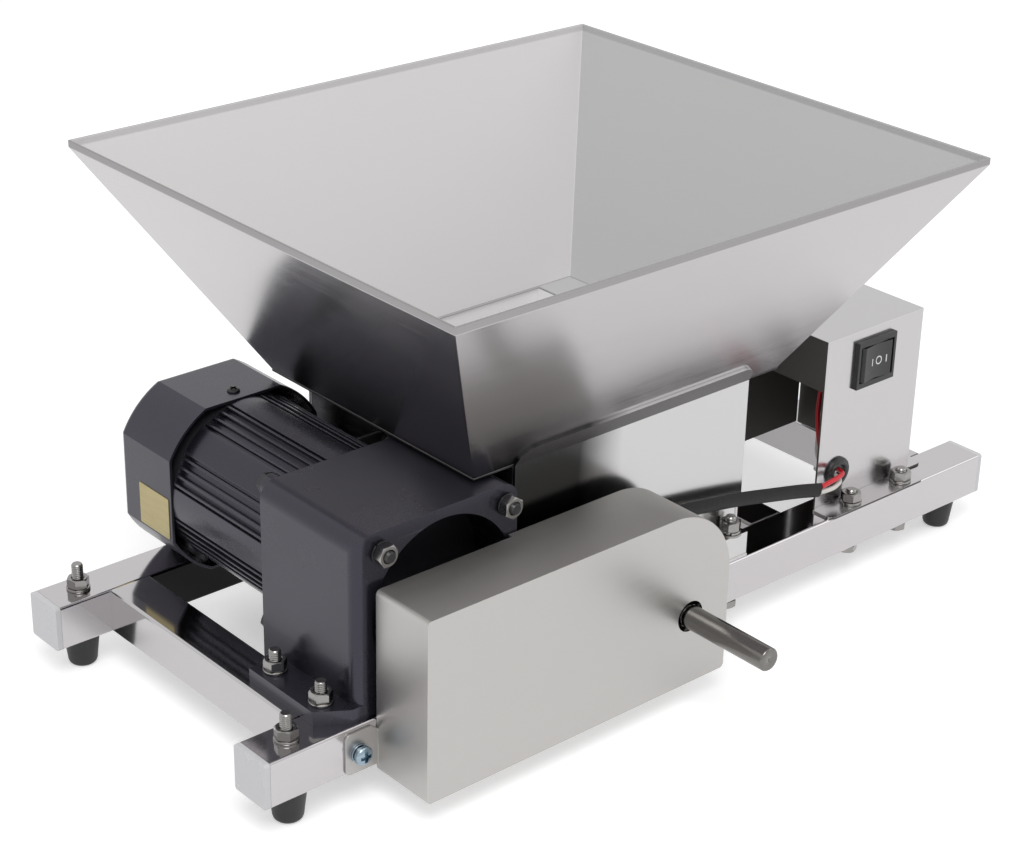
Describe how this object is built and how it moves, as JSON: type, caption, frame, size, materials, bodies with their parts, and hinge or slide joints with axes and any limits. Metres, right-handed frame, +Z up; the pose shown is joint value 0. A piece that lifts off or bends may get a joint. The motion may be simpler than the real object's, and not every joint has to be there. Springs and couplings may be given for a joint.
{
  "type": "electric fruit crusher",
  "caption": "Tabletop fruit crusher: square funnel hopper over a toothed roller, chain-driven by a geared motor on a tube frame with rubber feet.",
  "frame": {"origin": "on the bench, below the middle of the whole outline", "axes": "+X along the frame from the motor to the switch box, +Y from the chain side to the back, +Z up"},
  "size_m": [0.498, 0.3312, 0.254],
  "materials": {
    "polished_steel": "polished",
    "hopper_steel": "brushed",
    "sheet_steel": "brushed",
    "cover_steel": "satin brushed",
    "box_steel": "satin",
    "turned_steel": "turned",
    "fastener_steel": "bright",
    "dark_fasteners": "black",
    "slate_paint": "gloss",
    "dark_paint": "satin",
    "chain_steel": "oiled",
    "rotor_steel": "machined",
    "copper": "lacquered wire",
    "bronze": "machined",
    "gold_foil": "printed foil, left bare",
    "rubber": "matte",
    "cap_plastic": "satin",
    "black_plastic": "gloss",
    "fan_plastic": "matte",
    "sleeve_plastic": "matte",
    "red_plastic": "satin",
    "white_plastic": "satin"
  },
  "bodies": {
    "machine": {"front_rail": "polished_steel", "back_rail": "polished_steel", "left_cross_rail": "polished_steel", "drive_cross_rail": "polished_steel", "middle_cross_rail": "polished_steel", "right_cross_rail": "polished_steel", "rail_end_caps": "cap_plastic", "rubber_feet": "rubber", "foot_studs": "fastener_steel", "foot_nuts": "fastener_steel", "gear_casing": "slate_paint", "casing_foot_bolts": "fastener_steel", "casing_foot_nuts": "fastener_steel", "casing_base_bolts": "fastener_steel", "casing_screws": "dark_fasteners", "casing_nuts": "fastener_steel", "gearhead": "dark_paint", "motor_body": "slate_paint", "stator": "copper", "rear_bell": "dark_paint", "fan_cover": "slate_paint", "fan_cover_screws": "dark_fasteners", "rating_plate": "gold_foil", "motor_gland": "rubber", "hopper": "hopper_steel", "hopper_base": "sheet_steel", "front_plate": "polished_steel", "back_plate": "polished_steel", "left_box_wall": "sheet_steel", "right_box_wall": "sheet_steel", "feed_plate": "sheet_steel", "crushing_plate": "sheet_steel", "drive_chain": "chain_steel", "front_bearing_bar": "sheet_steel", "back_bearing_bar": "sheet_steel", "bearing_bushes": "bronze", "bearing_bolts": "fastener_steel", "bearing_nuts": "fastener_steel", "chain_cover": "cover_steel", "cover_screws": "fastener_steel", "switch_box": "box_steel", "switch_box_back": "box_steel", "switch_box_bolts": "fastener_steel", "switch_box_nuts": "fastener_steel", "switch_frame": "black_plastic", "cable_grommet": "rubber", "cable_sleeve": "sleeve_plastic", "red_wire": "red_plastic", "white_wire": "white_plastic"},
    "roller": {"crank_shaft": "turned_steel", "crushing_roller": "turned_steel", "roller_sprocket": "chain_steel"},
    "output": {"output_shaft": "turned_steel", "motor_sprocket": "chain_steel"},
    "rotor_set": {"rotor": "rotor_steel", "cooling_fan": "fan_plastic"},
    "switch_rocker": {"rocker": "black_plastic"}
  },
  "joints": [
    {"name": "roller_spin", "type": "hinge", "parent": "machine", "child": "roller", "pos_m": [-0.02216, 0.0242, 0.052], "axis": [0, 1, 0], "continuous": true, "deforming": ["drive_chain"]},
    {"name": "output_spin", "type": "hinge", "parent": "machine", "child": "output", "pos_m": [-0.1446, -0.0758, 0.0705], "axis": [0, 1, 0], "continuous": true},
    {"name": "rotor_spin", "type": "hinge", "parent": "machine", "child": "rotor_set", "pos_m": [-0.1446, 0.0442, 0.0885], "axis": [0, 1, 0], "continuous": true},
    {"name": "rocker_tilt", "type": "hinge", "parent": "machine", "child": "switch_rocker", "pos_m": [0.161, -0.0574, 0.1205], "axis": [0, 0, 1], "range_deg": [-9, 9]}
  ],
  "couplings": [
    {"joint": "output_spin", "follows": "roller_spin", "ratio": 1},
    {"joint": "rotor_spin", "follows": "roller_spin", "ratio": 5}
  ]
}
